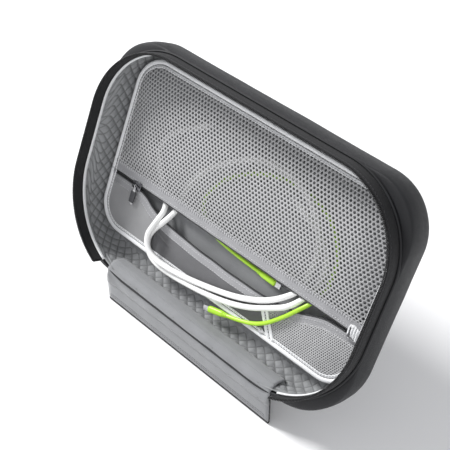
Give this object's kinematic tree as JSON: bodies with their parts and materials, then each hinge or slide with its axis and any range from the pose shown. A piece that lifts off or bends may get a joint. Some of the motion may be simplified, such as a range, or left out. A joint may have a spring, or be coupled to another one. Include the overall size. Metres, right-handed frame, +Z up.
{
  "type": "bag lid cable organizer pocket",
  "caption": "Soft hinged bag lid with a zipped mesh cable pocket inside, charging cables in it, open at rest.",
  "frame": {"origin": "middle of the flat sewing face of the hinge flange", "axes": "+X along the hinge, -Y to the front of the bag, +Y out of the flange face into the bag back panel, +Z up"},
  "size_m": [0.3546, 0.1428, 0.255],
  "materials": {
    "cover_fabric": "smooth coated weave",
    "foam": "closed cell foam",
    "board": "matte",
    "lining_grey": "soft plain weave",
    "lining_quilted": "quilted",
    "trim_light": "fine woven edge",
    "zip_tape_dark": "woven tape",
    "zip_coil_dark": "satin",
    "mesh": "open knitted mesh",
    "panel_light": "fine weave",
    "panel_dark": "smooth weave",
    "zip_tape_light": "woven tape",
    "zip_coil_light": "satin",
    "metal": "polished",
    "metal_dark": "satin",
    "grip_dark": "satin",
    "cable_white": "satin",
    "cable_green": "satin"
  },
  "bodies": {
    "hinge_flange": {"hinge_flange_outer": "cover_fabric", "hinge_flange_lining": "lining_grey", "hinge_flange_hem": "zip_tape_dark"},
    "lid": {"outer_cover": "cover_fabric", "foam_liner": "foam", "stiffener_board": "board", "back_lining": "lining_grey", "side_lining": "lining_quilted", "hinge_lining": "lining_grey", "rim_piping": "cover_fabric", "main_zip_tape": "zip_tape_dark", "main_zip_coil": "zip_coil_dark", "lining_binding": "trim_light", "mesh_panel": "mesh", "lower_panel_left": "panel_light", "lower_panel_centre": "panel_dark", "lower_panel_right": "mesh", "divider_ribbon": "trim_light", "snap_stud": "metal", "pocket_lower_binding": "trim_light", "pocket_upper_binding": "trim_light", "pocket_zip_tape_upper": "zip_tape_light", "pocket_zip_tape_lower": "zip_tape_light", "pocket_zip_coil_upper": "zip_coil_light", "pocket_zip_coil_lower": "zip_coil_light", "pocket_zip_stop": "metal", "pocket_zip_tab": "zip_tape_light", "white_cable": "cable_white", "white_plug_near": "cable_white", "white_plug_far": "cable_white", "white_plug_shells": "metal", "green_cable": "cable_green", "green_plug_near": "cable_green", "green_plug_far": "cable_green", "green_plug_shells": "metal"},
    "pocket_slider": {"pocket_slider": "metal_dark"},
    "pocket_pull": {"pocket_pull": "metal", "pocket_pull_sleeve": "grip_dark"}
  },
  "joints": [
    {"name": "lid_hinge", "type": "hinge", "parent": "hinge_flange", "child": "lid", "pos_m": [0, 0, 0.0225], "axis": [1, 0, 0], "range_deg": [0, 115]},
    {"name": "pocket_zip", "type": "slide", "parent": "lid", "child": "pocket_slider", "axis": [1, 0, 0], "range_m": [-0.025, 0.255], "deforming": ["pocket_zip_tape_lower", "pocket_zip_coil_lower", "white_cable", "green_cable"]},
    {"name": "pocket_pull_swing", "type": "hinge", "parent": "pocket_slider", "child": "pocket_pull", "pos_m": [-0.124, 0.05304, 0.09045], "axis": [-1, 0, 0], "range_deg": [0, 150]}
  ]
}
